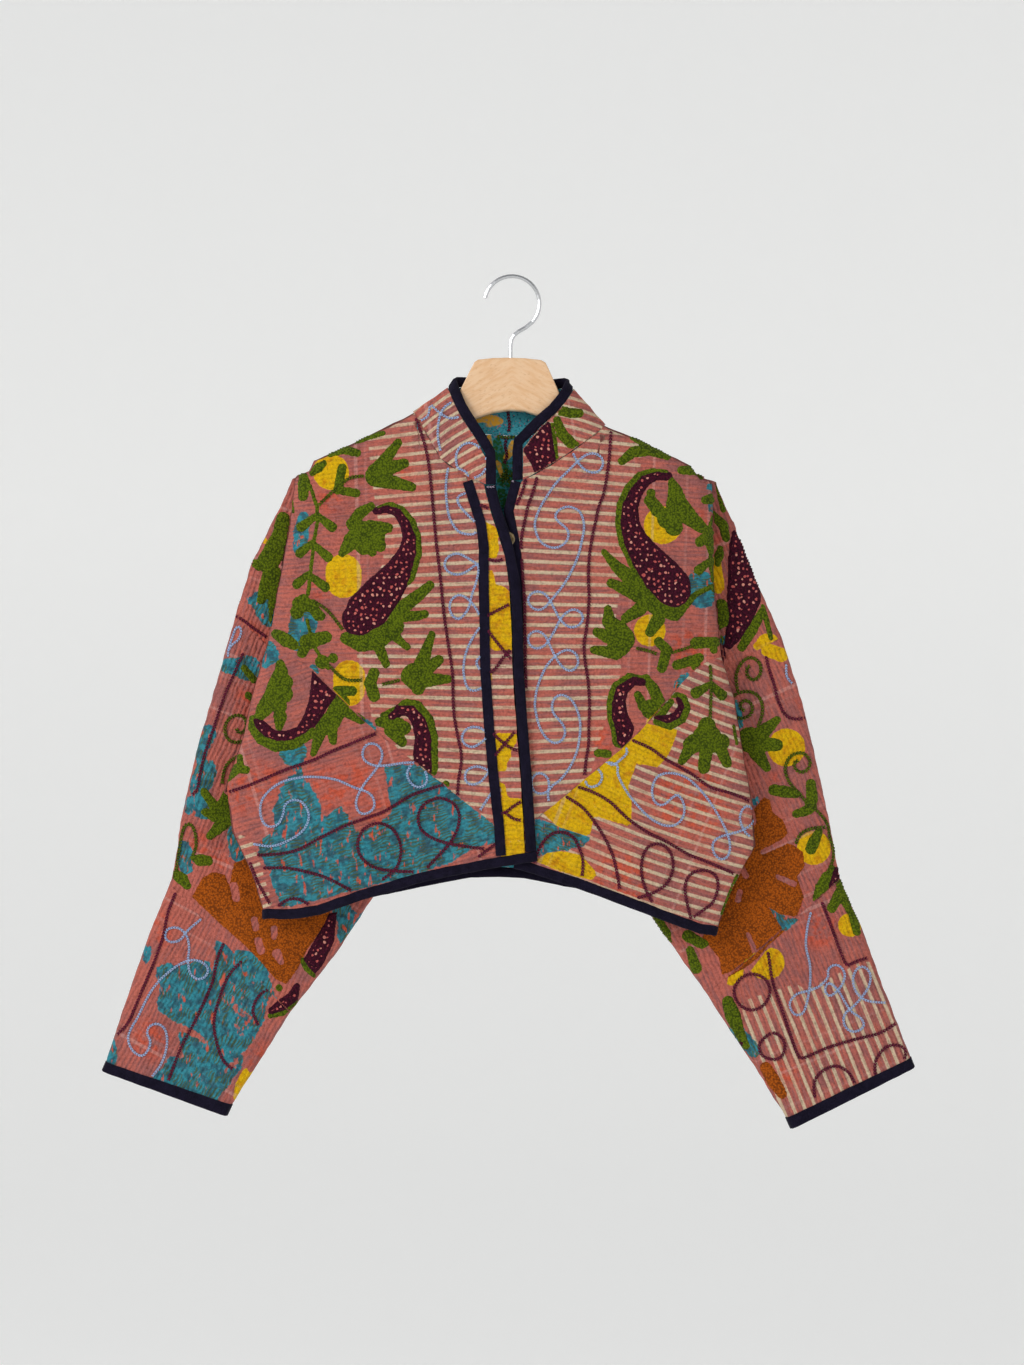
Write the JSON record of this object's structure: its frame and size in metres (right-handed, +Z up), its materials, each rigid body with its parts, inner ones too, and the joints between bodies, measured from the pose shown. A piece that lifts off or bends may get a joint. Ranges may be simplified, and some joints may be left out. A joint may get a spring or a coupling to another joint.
{
  "type": "kantha jacket on wooden hanger",
  "caption": "Quilted, embroidered open-front jacket with long sleeves and bound edges, hanging flat on a wooden hanger with a wire hook.",
  "frame": {"origin": "inner top of the hook, where it rests on a rail", "axes": "+Z up, the jacket's front faces -Y, +X to the right of someone who looks at the front"},
  "size_m": [0.8193, 0.0607, 0.858],
  "materials": {
    "cloth": "quilted cotton, matte",
    "binding": "plain woven cotton, matte",
    "wood": "satin varnish",
    "steel": "satin plated wire",
    "horn": "polished horn"
  },
  "bodies": {
    "root": {"front_right_upper": "cloth", "front_right_lower": "cloth", "front_left_upper": "cloth", "front_left_lower": "cloth", "back_upper": "cloth", "back_lower": "cloth", "front_band": "cloth", "collar": "cloth", "sleeve_right_upper": "cloth", "sleeve_right_middle": "cloth", "sleeve_right_cuff": "cloth", "sleeve_left_upper": "cloth", "sleeve_left_middle": "cloth", "sleeve_left_cuff": "cloth", "collar_binding": "binding", "front_edge_binding_right": "binding", "front_edge_binding_left": "binding", "band_binding": "binding", "hem_binding_right": "binding", "hem_binding_left": "binding", "hem_binding_back": "binding", "sleeve_right_cuff_binding": "binding", "sleeve_left_cuff_binding": "binding", "hanger": "wood", "hook": "steel", "button": "horn"}
  },
  "joints": []
}
